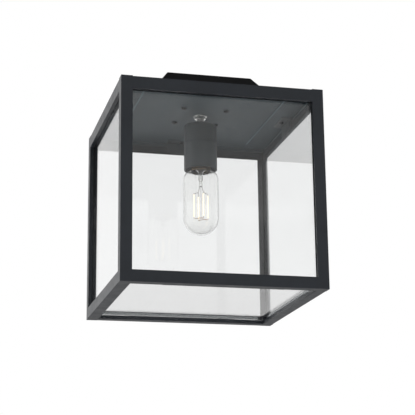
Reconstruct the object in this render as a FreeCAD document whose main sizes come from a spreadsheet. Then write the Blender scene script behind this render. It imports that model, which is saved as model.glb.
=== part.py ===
import FreeCAD, Part
import math
import os
import re
import Sketcher

# A square porch ceiling lantern, in millimetres. The origin is the centre of the face that lies on the ceiling,
# +Z points up into the ceiling and the front looks along -Y. Everything hangs below zero.

driving_sizes = [
    # frame of thick angle bars
    ("frame_width", 250),
    ("frame_height", 248),
    ("post_face", 14),
    ("post_rise", 0.5),
    ("top_rail_face", 15.5),
    ("bottom_rail_face", 14),
    ("bottom_flange", 14),
    ("leg_thickness", 5),
    ("edge_radius", 0.8),
    # roof tray
    ("roof_thickness", 1.2),
    ("roof_edge_depth", 6),
    ("roof_bend_radius", 1.8),
    ("bead_offset", 89),
    ("bead_length", 200),
    ("bead_width", 2),
    ("bead_depth", 0.6),
    # glass
    ("glass_thickness", 4),
    ("glass_top_drop", 7.2),
    ("glass_edge_gap", 0.5),
    ("pane_rest_gap", 0.3),
    # clips that hold the side panes
    ("clip_length", 40),
    ("clip_thickness", 0.8),
    ("clip_foot", 12),
    ("clip_grip", 8),
    ("clip_screw_radius", 1.5),
    ("clip_screw_head_radius", 2.8),
    ("clip_screw_head_height", 1.6),
    ("clip_screw_length", 5),
    # corner brackets of the bottom opening
    ("corner_leg", 38),
    ("corner_thickness", 1.2),
    ("corner_lip", 0.4),
    ("corner_lip_height", 1.2),
    ("corner_inset", 0.3),
    # canopy between the ceiling and the roof
    ("canopy_height", 36),
    ("canopy_top_width", 108),
    ("canopy_base_width", 160),
    ("canopy_wall", 1.2),
    ("canopy_lip", 8),
    ("canopy_bend_radius", 2.5),
    # ceiling bracket
    ("bracket_width", 80),
    ("bracket_length", 68),
    ("bracket_thickness", 2),
    ("bracket_foot", 22),
    ("bracket_bend_radius", 3),
    ("slot_spacing", 44),
    ("slot_length", 12),
    ("slot_width", 5),
    ("cable_hole_radius", 7),
    ("cable_hole_offset", 18),
    ("window_width", 40),
    ("window_height", 18),
    # screws that hang the lantern on the bracket
    ("roof_screw_spread", 55),
    ("roof_screw_reach", 56),
    ("roof_screw_radius", 2),
    ("roof_screw_head_radius", 3.6),
    ("roof_screw_head_height", 2.4),
    ("roof_screw_length", 4.6),
    ("screw_hole_clearance", 0.25),
    ("thread_clearance", 0.05),
    # threaded tube, nuts and washers that carry the lampholder
    ("nipple_radius", 5),
    ("nipple_bore", 3.5),
    ("nipple_rise", 7),
    ("nipple_depth", 6),
    ("nut_flats", 14),
    ("nut_height", 3),
    ("washer_radius", 8.6),
    ("washer_thickness", 0.9),
    # lampholder
    ("holder_gap", 12.5),
    ("holder_radius", 21),
    ("holder_wall", 2.2),
    ("holder_cap_height", 26),
    ("holder_skirt_height", 34),
    ("holder_round", 4),
    ("holder_seam", 0.4),
    ("core_thickness", 12),
    ("core_rise", 2),
    ("core_clearance", 0.1),
    ("core_recess", 4),
    ("ledge_depth", 2.5),
    ("ledge_width", 4),
    ("shell_length", 22),
    ("shell_wall", 0.6),
    ("shell_gap", 0.35),
    ("contact_blade_radius", 4),
    ("contact_gap", 0.3),
    ("contact_reach", 3.2),
    ("holder_screw_radius", 2),
    ("holder_screw_height", 3),
    ("holder_screw_spread", 22),
    # bulb
    ("bulb_length", 110),
    ("bulb_radius", 22.5),
    ("bulb_wall", 0.9),
    ("bulb_shoulder", 10),
    ("cap_radius", 13.1),
    ("cap_wall", 0.4),
    ("cap_length", 22),
    ("cap_crown", 2.6),
    ("cap_eye_radius", 8.5),
    ("insulator_height", 3),
    ("insulator_tip_radius", 5),
    ("button_radius", 4),
    ("button_height", 1.5),
    ("neck_overlap", 5),
    ("stem_foot", 4),
    ("stem_radius", 2.6),
    ("stem_length", 20),
    ("filament_circle", 9.3),
    ("filament_turn", 15),
    ("filament_radius", 0.9),
    ("filament_length", 33),
    ("filament_drop", 29),
    ("wire_radius", 0.45),
    # terminal block, earth terminal and leads
    ("block_offset", 54),
    ("block_width", 16),
    ("block_length", 30),
    ("block_height", 16),
    ("block_pitch", 10),
    ("block_screw_radius", 2),
    ("block_screw_height", 1.2),
    ("lead_radius", 1),
    ("lead_rise", 11),
    ("lead_bend", 5),
    ("lead_spread", 1.8),
    ("earth_offset", 34),
    ("earth_stud_radius", 2),
    ("earth_stud_length", 9),
    ("earth_nut_flats", 7),
    ("earth_nut_height", 3),
    ("earth_tag_radius", 4),
    ("earth_tag_thickness", 0.8),
    ("earth_tag_length", 10),
]

doc = FreeCAD.newDocument("porch_lantern")
size = doc.addObject("Spreadsheet::Sheet", "size")
for row, (name, value) in enumerate(driving_sizes, 1):
    size.set(f"A{row}", name)
    size.set(f"B{row}", str(value))
    size.setAlias(f"B{row}", name)
doc.recompute()

names = {name for name, value in driving_sizes}
pieces = []

# Levels and half widths that several pieces share, written in terms of the driving sizes.
half = "(frame_width / 2)"
inside = "(frame_width / 2 - leg_thickness)"
frame_top = "(-canopy_height)"
frame_bottom = "(-canopy_height - frame_height)"
roof_underside = "(-canopy_height - roof_thickness)"
holder_top = "(-canopy_height - roof_thickness - holder_gap)"
holder_seam_level = f"({holder_top} - holder_cap_height)"
holder_rim = f"({holder_seam_level} - holder_skirt_height)"
ledge_top = f"({holder_seam_level} + core_rise - core_thickness)"
core_face = f"({ledge_top} + core_recess)"
contact_tip = f"({core_face} - contact_reach)"
bulb_tip = f"({contact_tip} - bulb_length)"
cap_top = f"({contact_tip} - button_height - contact_gap - insulator_height)"
cap_rim = f"({cap_top} - cap_length)"
neck_radius = "(bulb_radius - bulb_shoulder)"
lead_level = "(-canopy_height + lead_rise)"
filament_top = f"({cap_rim} - filament_drop)"


def full(text):
    """An expression with each driving size's name pointing at its cell."""
    return re.sub(r"[a-z_]+", lambda m: f"size.{m.group()}" if m.group() in names else m.group(), text)


def number(text):
    return float(size.evalExpression(full(text)))


def bind(thing, what, text):
    thing.setExpression(what, full(text))


def place(thing, x="0", y="0", z="0", turn=0):
    """Turns a piece about the vertical and moves it by expressions."""
    thing.Placement = FreeCAD.Placement(
        FreeCAD.Vector(number(x), number(y), number(z)), FreeCAD.Rotation(FreeCAD.Vector(0, 0, 1), turn)
    )
    for axis, text in zip("xyz", (x, y, z)):
        bind(thing, f"Placement.Base.{axis}", text)
    return thing


def keep(thing, label):
    thing.Label = label
    pieces.append(thing)
    return thing


def new_body(label):
    return keep(doc.addObject("PartDesign::Body", label), label)


def new_sketch(body, plane, height="0"):
    """A sketch on one of the body's own planes, raised along the plane's normal."""
    sketch = body.newObject("Sketcher::SketchObject", "sketch")
    base = next(f for f in body.Origin.OriginFeatures if f.Role == plane)
    sketch.AttachmentSupport = [(base, "")]
    sketch.MapMode = "FlatFace"
    sketch.AttachmentOffset = FreeCAD.Placement(FreeCAD.Vector(0, 0, number(height)), FreeCAD.Rotation())
    bind(sketch, "AttachmentOffset.Base.z", height)
    return sketch


def fix_point(sketch, geometry, end, x=None, y=None):
    """Holds one end (1 or 2) or the centre (3) of an edge at distances from the sketch's origin."""
    for kind, text in (("DistanceX", x), ("DistanceY", y)):
        if text is not None:
            held = Sketcher.Constraint(kind, -1, 1, geometry, end, number(text))
            bind(sketch, f"Constraints[{sketch.addConstraint(held)}]", text)


def outline(sketch, points, closed=True):
    """Joins points with lines. A point (x, y, centre x, centre y) starts an arc to the next one, the short way round."""
    spots = [FreeCAD.Vector(number(p[0]), number(p[1]), 0) for p in points]
    count = len(points) if closed else len(points) - 1
    first = sketch.GeometryCount
    ends = []
    for i in range(count):
        start, stop = spots[i], spots[(i + 1) % len(points)]
        if len(points[i]) == 2:
            sketch.addGeometry(Part.LineSegment(start, stop))
            ends.append((1, 2))
            continue
        centre = FreeCAD.Vector(number(points[i][2]), number(points[i][3]), 0)
        a, b = start - centre, stop - centre
        forward = a.x * b.y - a.y * b.x > 0
        low, high = (a, b) if forward else (b, a)
        turn_low = math.atan2(low.y, low.x)
        turn_high = turn_low + low.getAngle(high)
        circle = Part.Circle(centre, FreeCAD.Vector(0, 0, 1), a.Length)
        sketch.addGeometry(Part.ArcOfCircle(circle, turn_low, turn_high))
        ends.append((1, 2) if forward else (2, 1))
    for i in range(count if closed else count - 1):
        after = (i + 1) % count
        sketch.addConstraint(
            Sketcher.Constraint("Coincident", first + i, ends[i][1], first + after, ends[after][0])
        )
    for i in range(count):
        fix_point(sketch, first + i, ends[i][0], points[i][0], points[i][1])
        if len(points[i]) == 4:
            level = abs(spots[i].y - spots[(i + 1) % len(points)].y) < 1e-9
            if level:
                fix_point(sketch, first + i, 3, y=points[i][3])
            else:
                fix_point(sketch, first + i, 3, x=points[i][2])
    if not closed:
        fix_point(sketch, first + count - 1, ends[-1][1], points[-1][0], points[-1][1])
    return sketch


def rectangle(sketch, left, right, low, high):
    return outline(sketch, [(left, low), (right, low), (right, high), (left, high)])


def square(sketch, reach):
    return rectangle(sketch, f"-{reach}", reach, f"-{reach}", reach)


def round_hole(sketch, x, y, radius):
    """A full circle, held at its centre and by its radius."""
    circle = Part.Circle(FreeCAD.Vector(number(x), number(y), 0), FreeCAD.Vector(0, 0, 1), number(radius))
    geometry = sketch.addGeometry(circle)
    fix_point(sketch, geometry, 3, x, y)
    held = Sketcher.Constraint("Radius", geometry, number(radius))
    bind(sketch, f"Constraints[{sketch.addConstraint(held)}]", radius)
    return sketch


def feature(body, kind, profile, length=None, centred=False, back=False):
    """A pad or pocket of a sketch. A pocket with no length goes right through both ways."""
    made = body.newObject(f"PartDesign::{kind}", kind.lower())
    made.Profile = profile
    made.Midplane = centred
    made.Reversed = back
    if length is None:
        made.Type = "ThroughAll"
        made.Midplane = True
    else:
        bind(made, "Length", length)
    return made


def turned(label, points):
    """A piece turned about the vertical axis from its profile of radius and height."""
    body = new_body(label)
    profile = outline(new_sketch(body, "XZ_Plane"), points)
    spun = body.newObject("PartDesign::Revolution", "revolution")
    spun.Profile = profile
    spun.ReferenceAxis = (profile, ["V_Axis"])
    spun.Angle = 360
    return body


def round_edges(body, radius, wanted):
    """Rounds the edges of the body's last feature that the test accepts."""
    doc.recompute()
    base = body.Tip
    found = [f"Edge{i}" for i, edge in enumerate(base.Shape.Edges, 1) if wanted(edge)]
    fillet = body.newObject("PartDesign::Fillet", "fillet")
    fillet.Base = (base, found)
    bind(fillet, "Radius", radius)
    return fillet


def solid(kind, spot=("0", "0", "0"), **sizes):
    """A primitive whose sizes and place are expressions."""
    made = doc.addObject(f"Part::{kind}", kind.lower())
    for what, text in sizes.items():
        bind(made, what, text)
    return place(made, *spot)


def joined(kind, base, tool):
    made = doc.addObject(f"Part::{kind}", kind.lower())
    made.Base = base
    made.Tool = tool
    return made


def group(label, members):
    made = doc.addObject("Part::Compound", label)
    made.Links = members
    return keep(made, label)


def screw(spot, head_radius, head_height, radius, length):
    """A cheese-headed screw, head down, whose head's upper face is at the spot."""
    x, y, z = spot
    head = solid("Cylinder", (x, y, f"{z} - {head_height}"), Radius=head_radius, Height=head_height)
    shank = solid("Cylinder", (x, y, z), Radius=radius, Height=length)
    return joined("Fuse", head, shank)


# The four sides and corners: name, quarter turn and place of the outer face's middle or of the outer corner.
sides = [
    ("front", 0, "0", f"-{half}"),
    ("right", 90, half, "0"),
    ("back", 180, "0", half),
    ("left", 270, f"-{half}", "0"),
]
corners = [
    ("front_left", 0, f"-{half}", f"-{half}"),
    ("front_right", 90, half, f"-{half}"),
    ("back_right", 180, half, half),
    ("back_left", 270, f"-{half}", half),
]


# Corner posts: thick angle bars with a rounded outer edge, a little taller than the top rails.
for name, turn, x, y in corners:
    post = new_body(f"corner_post_{name}")
    section = outline(
        new_sketch(post, "XY_Plane"),
        [
            ("edge_radius", "0"),
            ("post_face", "0"),
            ("post_face", "leg_thickness"),
            ("leg_thickness", "leg_thickness"),
            ("leg_thickness", "post_face"),
            ("0", "post_face"),
            ("0", "edge_radius", "edge_radius", "edge_radius"),
        ],
    )
    feature(post, "Pad", section, "frame_height + post_rise")
    place(post, x, y, frame_bottom, turn)

rail_half = f"({half} - post_face)"

# Top rails: flat bars between the posts, flush with their faces.
for name, turn, x, y in sides:
    rail = new_body(f"top_rail_{name}")
    section = outline(
        new_sketch(rail, "YZ_Plane"),
        [
            ("leg_thickness", "0"),
            ("edge_radius", "0", "edge_radius", "-edge_radius"),
            ("0", "-edge_radius"),
            ("0", "-top_rail_face"),
            ("leg_thickness", "-top_rail_face"),
        ],
    )
    feature(rail, "Pad", section, f"2 * {rail_half}", centred=True)
    place(rail, x, y, frame_top, turn)

# Bottom rails: angle bars whose flanges run on into the corners and meet there in mitres, inside the posts. Beside each
# mitre the flange's edge is cut back by the thickness of the corner bracket.
corner_seat = "(bottom_flange - corner_thickness)"
corner_far = "(bottom_flange + corner_leg)"
for name, turn, x, y in sides:
    rail = new_body(f"bottom_rail_{name}")
    section = outline(
        new_sketch(rail, "YZ_Plane"),
        [
            ("edge_radius", "0"),
            ("bottom_flange", "0"),
            ("bottom_flange", "leg_thickness"),
            ("leg_thickness", "leg_thickness"),
            ("leg_thickness", "bottom_rail_face"),
            ("0", "bottom_rail_face"),
            ("0", "edge_radius", "edge_radius", "edge_radius"),
        ],
    )
    feature(rail, "Pad", section, f"2 * {inside}", centred=True)
    for end in ("", "-"):
        mitre = outline(
            new_sketch(rail, "XY_Plane"),
            [
                (f"{end}{rail_half}", "-1"),
                (f"{end}{rail_half}", "leg_thickness"),
                (f"{end}{inside}", "leg_thickness"),
                (f"{end}({half} - {corner_seat})", corner_seat),
                (f"{end}({half} - {corner_far})", corner_seat),
                (f"{end}({half} - {corner_far})", "bottom_flange + 1"),
                (f"{end}{half}", "bottom_flange + 1"),
                (f"{end}{half}", "-1"),
            ],
        )
        feature(rail, "Pocket", mitre)
    place(rail, x, y, frame_bottom, turn)

# Clips stand on the inner faces of the side panes, each with one screw up into the roof.
clip_face = "(leg_thickness + glass_thickness)"
clip_screw_spot = f"({clip_face} + clip_foot / 2 + clip_thickness / 2)"
clip_screw_reach = f"({half} - {clip_screw_spot})"
clip_screw_spots = [
    ("0", f"-{clip_screw_reach}"),
    (clip_screw_reach, "0"),
    ("0", clip_screw_reach),
    (f"-{clip_screw_reach}", "0"),
]

# Roof: a shallow tray with turned-down edges against the top rails, and two pressed beads.
roof = new_body("roof_plate")
feature(roof, "Pad", square(new_sketch(roof, "XY_Plane", frame_top), inside), "roof_edge_depth", back=True)


def on_roof_rim(edge):
    middle = edge.BoundBox.Center
    return abs(middle.z - number(frame_top)) < 1e-6 and edge.BoundBox.ZLength < 1e-6


round_edges(roof, "roof_bend_radius", on_roof_rim)
hollow = square(new_sketch(roof, "XY_Plane", f"{frame_top} - roof_edge_depth"), f"({inside} - roof_thickness)")
feature(roof, "Pocket", hollow, "roof_edge_depth - roof_thickness", back=True)
beads = new_sketch(roof, "XY_Plane", roof_underside)
grooves = new_sketch(roof, "XY_Plane", frame_top)
for side in ("", "-"):
    for made, width in ((beads, "bead_width"), (grooves, "(bead_width - bead_depth)")):
        middle = f"{side}bead_offset"
        rectangle(made, f"{middle} - {width} / 2", f"{middle} + {width} / 2", "-bead_length / 2", "bead_length / 2")
feature(roof, "Pad", beads, "bead_depth", back=True)
feature(roof, "Pocket", grooves, "bead_depth")
holes = new_sketch(roof, "XY_Plane", frame_top)
round_hole(holes, "0", "0", "nipple_radius + screw_hole_clearance")
screw_spots = [(f"{a}roof_screw_spread / 2", f"{b}roof_screw_reach / 2") for a in ("-", "") for b in ("-", "")]
for x, y in screw_spots:
    round_hole(holes, x, y, "roof_screw_radius + screw_hole_clearance")
for x, y in clip_screw_spots:
    round_hole(holes, x, y, "clip_screw_radius + thread_clearance")
round_hole(holes, "block_offset", "earth_offset", "earth_stud_radius + thread_clearance")
feature(roof, "Pocket", holes)

# Glass: the front and back panes run behind the posts, the side panes fit between them, the bottom pane lies inside
# all four on the bottom flanges.
side_pane_low = "leg_thickness"
side_pane_height = "frame_height - glass_top_drop - leg_thickness"
pane_inner = f"({inside} - glass_thickness - glass_edge_gap)"
for name, turn, x, y in sides:
    pane_half = f"({inside} - glass_edge_gap)" if name in ("front", "back") else pane_inner
    pane = new_body(f"glass_{name}")
    face = rectangle(new_sketch(pane, "XY_Plane"), f"-{pane_half}", pane_half, "leg_thickness",
                     "leg_thickness + glass_thickness")
    feature(pane, "Pad", face, side_pane_height)
    place(pane, x, y, f"{frame_bottom} + {side_pane_low}", turn)
pane = new_body("glass_bottom")
feature(pane, "Pad", square(new_sketch(pane, "XY_Plane"), pane_inner), "glass_thickness")
place(pane, "0", "0", f"{frame_bottom} + leg_thickness + pane_rest_gap")

# Clips: one angle clip at the middle of each top rail, its foot under the roof and its tongue down the pane's face.
for name, turn, x, y in sides:
    clip = new_body(f"glass_clip_{name}")
    section = outline(
        new_sketch(clip, "YZ_Plane"),
        [
            (clip_face, "0"),
            (f"{clip_face} + clip_foot", "0"),
            (f"{clip_face} + clip_foot", "-clip_thickness"),
            (f"{clip_face} + clip_thickness", "-clip_thickness"),
            (f"{clip_face} + clip_thickness", "roof_thickness - glass_top_drop - clip_grip"),
            (clip_face, "roof_thickness - glass_top_drop - clip_grip"),
        ],
    )
    feature(clip, "Pad", section, "clip_length", centred=True)
    hole = round_hole(new_sketch(clip, "XY_Plane"), "0", clip_screw_spot, "clip_screw_radius + thread_clearance")
    feature(clip, "Pocket", hole)
    place(clip, x, y, roof_underside, turn)

# One screw through the foot of each clip into the roof.
clip_screws = [
    screw((x, y, f"{roof_underside} - clip_thickness"), "clip_screw_head_radius", "clip_screw_head_height",
          "clip_screw_radius", "clip_screw_length")
    for x, y in clip_screw_spots
]
group("clip_screws", clip_screws)

# Corner brackets: angle strips let into the inner corners of the bottom opening, with a small lip at the foot.
for name, turn, x, y in corners:
    bracket = new_body(f"corner_bracket_{name}")
    for reach, height in (
        ("bottom_flange", "leg_thickness - 2 * corner_inset"),
        ("bottom_flange + corner_lip", "corner_lip_height"),
    ):
        strip = outline(
            new_sketch(bracket, "XY_Plane"),
            [
                (corner_seat, corner_seat),
                (corner_far, corner_seat),
                (corner_far, reach),
                (reach, reach),
                (reach, corner_far),
                (corner_seat, corner_far),
            ],
        )
        feature(bracket, "Pad", strip, height)
    place(bracket, x, y, f"{frame_bottom} + corner_inset", turn)

# Canopy: a four-sided skirt that widens from the ceiling down to the roof, with a lip turned in at the ceiling.
canopy_slope = "((canopy_base_width - canopy_top_width) / 2 / canopy_height)"
canopy_side_wall = f"(canopy_wall * sqrt(1 + {canopy_slope} ^ 2))"
canopy = new_body("canopy")


def skirt(kind, base, base_level, top, top_level):
    """A loft between two squares of the given half widths."""
    loft = canopy.newObject(f"PartDesign::{kind}", "skirt")
    loft.Profile = square(new_sketch(canopy, "XY_Plane", base_level), base)
    loft.Sections = [square(new_sketch(canopy, "XY_Plane", top_level), top)]
    loft.Ruled = True
    return loft


skirt("AdditiveLoft", "(canopy_base_width / 2)", frame_top, "(canopy_top_width / 2)", "0")
skirt("SubtractiveLoft", f"(canopy_base_width / 2 - {canopy_side_wall})", frame_top,
      f"(canopy_top_width / 2 - {canopy_side_wall} + canopy_wall * {canopy_slope})", "-canopy_wall")
round_edges(canopy, "canopy_bend_radius - canopy_wall",
            lambda edge: abs(edge.BoundBox.ZMax + number("canopy_wall")) < 1e-6)
round_edges(canopy, "canopy_bend_radius", lambda edge: edge.BoundBox.ZMax > -1e-6)
mouth = square(new_sketch(canopy, "XY_Plane"), "(canopy_top_width / 2 - canopy_lip)")
feature(canopy, "Pocket", mouth, "canopy_wall")

# Ceiling bracket: a channel folded with its feet turned in, slotted for the ceiling screws, with a hole for the
# supply cable, a window in each side for the leads and tapped holes in its feet.
bracket = new_body("ceiling_bracket")
outer = "(bracket_width / 2)"
inner = "(bracket_width / 2 - bracket_thickness)"
toe = "(bracket_width / 2 - bracket_foot)"
foot_top = f"({frame_top} + bracket_thickness)"
section = outline(
    new_sketch(bracket, "XZ_Plane"),
    [
        (f"-{outer}", "0"),
        (outer, "0"),
        (outer, frame_top),
        (toe, frame_top),
        (toe, foot_top),
        (inner, foot_top),
        (inner, "-bracket_thickness"),
        (f"-{inner}", "-bracket_thickness"),
        (f"-{inner}", foot_top),
        (f"-{toe}", foot_top),
        (f"-{toe}", frame_top),
        (f"-{outer}", frame_top),
    ],
)
feature(bracket, "Pad", section, "bracket_length", centred=True)
round_edges(bracket, "bracket_bend_radius",
            lambda edge: edge.BoundBox.YLength > 1 and abs(edge.BoundBox.Center.x) > number(outer) - 1e-6)
round_edges(bracket, "bracket_bend_radius - bracket_thickness",
            lambda edge: edge.BoundBox.YLength > 1 and edge.BoundBox.XLength < 1e-6
            and abs(abs(edge.BoundBox.Center.x) - number(inner)) < 1e-6)
cuts = new_sketch(bracket, "XY_Plane")
for way in ("-", ""):
    near = f"({way}slot_spacing / 2 - (slot_length - slot_width) / 2)"
    far = f"({way}slot_spacing / 2 + (slot_length - slot_width) / 2)"
    outline(
        cuts,
        [
            ("slot_width / 2", far, "0", far),
            ("0", f"{far} + slot_width / 2", "0", far),
            ("-slot_width / 2", far),
            ("-slot_width / 2", near, "0", near),
            ("0", f"{near} - slot_width / 2", "0", near),
            ("slot_width / 2", near),
        ],
    )
round_hole(cuts, "cable_hole_offset", "0", "cable_hole_radius")
feature(bracket, "Pocket", cuts, "bracket_thickness")
window = rectangle(new_sketch(bracket, "YZ_Plane"), "-window_width / 2", "window_width / 2",
                   f"{foot_top} + bracket_thickness", f"{foot_top} + bracket_thickness + window_height")
feature(bracket, "Pocket", window)
taps = new_sketch(bracket, "XY_Plane", foot_top)
for x, y in screw_spots:
    round_hole(taps, x, y, "roof_screw_radius + thread_clearance")
feature(bracket, "Pocket", taps, "bracket_thickness")

roof_screws = [
    screw((x, y, roof_underside), "roof_screw_head_radius", "roof_screw_head_height", "roof_screw_radius",
          "roof_screw_length")
    for x, y in screw_spots
]
group("roof_screws", roof_screws)


# Threaded tube with a nut and a washer on each side of the roof.
def ring(label, radius, bore, low, height):
    outside = solid("Cylinder", ("0", "0", low), Radius=radius, Height=height)
    drill = solid("Cylinder", ("0", "0", low), Radius=bore, Height=height)
    return keep(joined("Cut", outside, drill), label)


def hex_nut(spot, flats, bore, height):
    block = solid("Prism", spot, Circumradius=f"{flats} / sqrt(3)", Height=height)
    drill = solid("Cylinder", spot, Radius=bore, Height=height)
    return joined("Cut", block, drill)


nipple_top = f"({frame_top} + nipple_rise)"
nipple_foot = f"({holder_top} - nipple_depth)"
ring("nipple", "nipple_radius", "nipple_bore", nipple_foot, f"{nipple_top} - {nipple_foot}")
tapped = "nipple_radius + thread_clearance"
upper_nut = hex_nut(("0", "0", f"{frame_top} + washer_thickness"), "nut_flats", tapped, "nut_height")
keep(upper_nut, "nipple_nut_upper")
lower_nut = hex_nut(("0", "0", f"{roof_underside} - washer_thickness - nut_height"), "nut_flats", tapped, "nut_height")
keep(lower_nut, "nipple_nut_lower")
ring("nipple_washer_upper", "washer_radius", tapped, frame_top, "washer_thickness")
ring("nipple_washer_lower", "washer_radius", tapped, f"{roof_underside} - washer_thickness", "washer_thickness")

# Lampholder: cap, skirt, insulating core, screw shell and contacts.
holder_inner = "(holder_radius - holder_wall)"
turned(
    "lampholder_cap",
    [
        ("nipple_radius + thread_clearance", holder_top),
        ("holder_radius - holder_round", holder_top, "holder_radius - holder_round", f"{holder_top} - holder_round"),
        ("holder_radius", f"{holder_top} - holder_round"),
        ("holder_radius", f"{holder_seam_level} + holder_seam"),
        ("holder_radius - holder_seam", holder_seam_level),
        (holder_inner, holder_seam_level),
        (holder_inner, f"{holder_top} - holder_round"),
        ("holder_radius - holder_round", f"{holder_top} - holder_wall"),
        ("nipple_radius + holder_wall", f"{holder_top} - holder_wall"),
        ("nipple_radius + holder_wall", nipple_foot),
        ("nipple_radius + thread_clearance", nipple_foot),
    ],
)
ledge_bore = f"({holder_inner} - ledge_width)"
turned(
    "lampholder_skirt",
    [
        (holder_inner, holder_seam_level),
        ("holder_radius - holder_seam", holder_seam_level),
        ("holder_radius", f"{holder_seam_level} - holder_seam"),
        ("holder_radius", f"{holder_rim} + holder_seam"),
        ("holder_radius - holder_seam", holder_rim),
        (holder_inner, holder_rim),
        (holder_inner, f"{ledge_top} - ledge_depth"),
        (ledge_bore, f"{ledge_top} - ledge_depth"),
        (ledge_bore, ledge_top),
        (holder_inner, ledge_top),
    ],
)
shell_bore = "(cap_radius + shell_gap)"
shell_outer = f"({shell_bore} + shell_wall)"
core_recess_bore = f"({shell_outer} + core_clearance)"
turned(
    "lampholder_core",
    [
        ("0", core_face),
        (core_recess_bore, core_face),
        (core_recess_bore, ledge_top),
        (f"{holder_inner} - core_clearance", ledge_top),
        (f"{holder_inner} - core_clearance", f"{ledge_top} + core_thickness"),
        ("0", f"{ledge_top} + core_thickness"),
    ],
)
ring("lampholder_shell", shell_outer, shell_bore, f"{core_face} - shell_length", "shell_length")
contact = solid("Cylinder", ("0", "0", f"{contact_tip} + contact_gap"), Radius="contact_blade_radius",
                Height=f"{core_face} - {contact_tip} - contact_gap")
keep(contact, "lampholder_contact")
core_top = f"({ledge_top} + core_thickness)"
terminals = [
    solid("Cylinder", (f"{way}holder_screw_spread / 2", "0", core_top), Radius="holder_screw_radius",
          Height="holder_screw_height")
    for way in ("-", "")
]
group("lampholder_terminals", terminals)

# Bulb: the button travels with the bulb along the thread and all the rest turns with it.
button_foot = f"({contact_tip} - button_height)"
button = solid("Cylinder", ("0", "0", button_foot), Radius="button_radius", Height="button_height")
keep(button, "bulb_button")
turned(
    "bulb_insulator",
    [
        ("0", cap_top),
        ("cap_eye_radius", cap_top),
        ("insulator_tip_radius", f"{cap_top} + insulator_height"),
        ("0", f"{cap_top} + insulator_height"),
    ],
)
turned(
    "bulb_cap",
    [
        ("0", cap_top),
        ("cap_eye_radius", cap_top),
        ("cap_radius", f"{cap_top} - cap_crown"),
        ("cap_radius", cap_rim),
        ("cap_radius - cap_wall", cap_rim),
        ("cap_radius - cap_wall", f"{cap_top} - cap_crown"),
        ("cap_eye_radius", f"{cap_top} - cap_wall"),
        ("0", f"{cap_top} - cap_wall"),
    ],
)
shoulder_centre = f"({cap_rim} - bulb_shoulder)"
tip_centre = f"({bulb_tip} + bulb_radius)"
turned(
    "bulb_glass",
    [
        (neck_radius, f"{cap_rim} + neck_overlap"),
        (neck_radius, cap_rim, neck_radius, shoulder_centre),
        ("bulb_radius", shoulder_centre),
        ("bulb_radius", tip_centre, "0", tip_centre),
        ("0", bulb_tip),
        ("0", f"{bulb_tip} + bulb_wall", "0", tip_centre),
        ("bulb_radius - bulb_wall", tip_centre),
        ("bulb_radius - bulb_wall", shoulder_centre, neck_radius, shoulder_centre),
        (neck_radius, f"{cap_rim} - bulb_wall"),
        (f"{neck_radius} - bulb_wall", f"{cap_rim} - bulb_wall"),
        (f"{neck_radius} - bulb_wall", f"{cap_rim} + neck_overlap"),
    ],
)
stem_top = f"({cap_rim} + neck_overlap)"
stem_end = f"({cap_rim} - stem_length)"
flare = f"({neck_radius} - bulb_wall - core_clearance)"
turned(
    "bulb_stem",
    [
        ("0", stem_end),
        ("stem_radius", stem_end),
        ("stem_radius", f"{stem_top} - stem_foot - {flare} + stem_radius",
         flare, f"{stem_top} - stem_foot - {flare} + stem_radius"),
        (flare, f"{stem_top} - stem_foot"),
        (flare, stem_top),
        ("0", stem_top),
    ],
)
filament_foot = f"({filament_top} - filament_length)"
filaments = []
for quarter in range(4):
    lean = f"(filament_turn + 90 * {quarter})"
    spot = (f"filament_circle * cos({lean})", f"filament_circle * sin({lean})", filament_foot)
    filaments.append(solid("Cylinder", spot, Radius="filament_radius", Height="filament_length"))
group("bulb_filaments", filaments)


# Wires: a ring above and below the filaments and two props from the stem to the upper ring.
def prop(way):
    """A straight wire from the stem's end out to the upper filament ring."""
    run = "(filament_circle - stem_radius + wire_radius)"
    start = f"({stem_end} - wire_radius)"
    drop = f"({start} - {filament_top} - 2 * wire_radius)"
    wire = solid("Cylinder", (f"{way}(stem_radius - wire_radius)", "0", start), Radius="wire_radius",
                 Height=f"sqrt({run} ^ 2 + {drop} ^ 2)")
    steep = math.degrees(math.atan2(number(run), number(drop)))
    sign = -1 if way else 1
    wire.Placement.Rotation = FreeCAD.Rotation(FreeCAD.Vector(0, 1, 0), 180 - sign * steep)
    return wire


wire_rings = [
    solid("Torus", ("0", "0", level), Radius1="filament_circle", Radius2="wire_radius")
    for level in (f"{filament_top} + wire_radius", f"{filament_foot} - wire_radius")
]
group("bulb_wires", wire_rings + [prop(""), prop("-")])

# Terminal block on the roof, beside the bracket.
block_left = "(block_offset - block_width / 2)"
block = solid("Box", (block_left, "-block_length / 2", frame_top), Length="block_width", Width="block_length",
              Height="block_height")
keep(block, "terminal_block")
ways = ("-block_pitch", "0", "block_pitch")
block_screws = [
    solid("Cylinder", ("block_offset", y, f"{frame_top} + block_height"), Radius="block_screw_radius",
          Height="block_screw_height")
    for y in ways
]
group("terminal_screws", block_screws)


# Leads from the block through the bracket's window and down the threaded tube to the lampholder.
def lead(label, plane, path, offset, start):
    """A round wire along a path drawn in a plane set off from the body's own."""
    wire = new_body(label)
    route = outline(new_sketch(wire, plane, offset), path, closed=False)
    pipe = wire.newObject("PartDesign::AdditivePipe", "pipe")
    pipe.Profile = start(wire)
    pipe.Spine = route
    return wire


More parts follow.
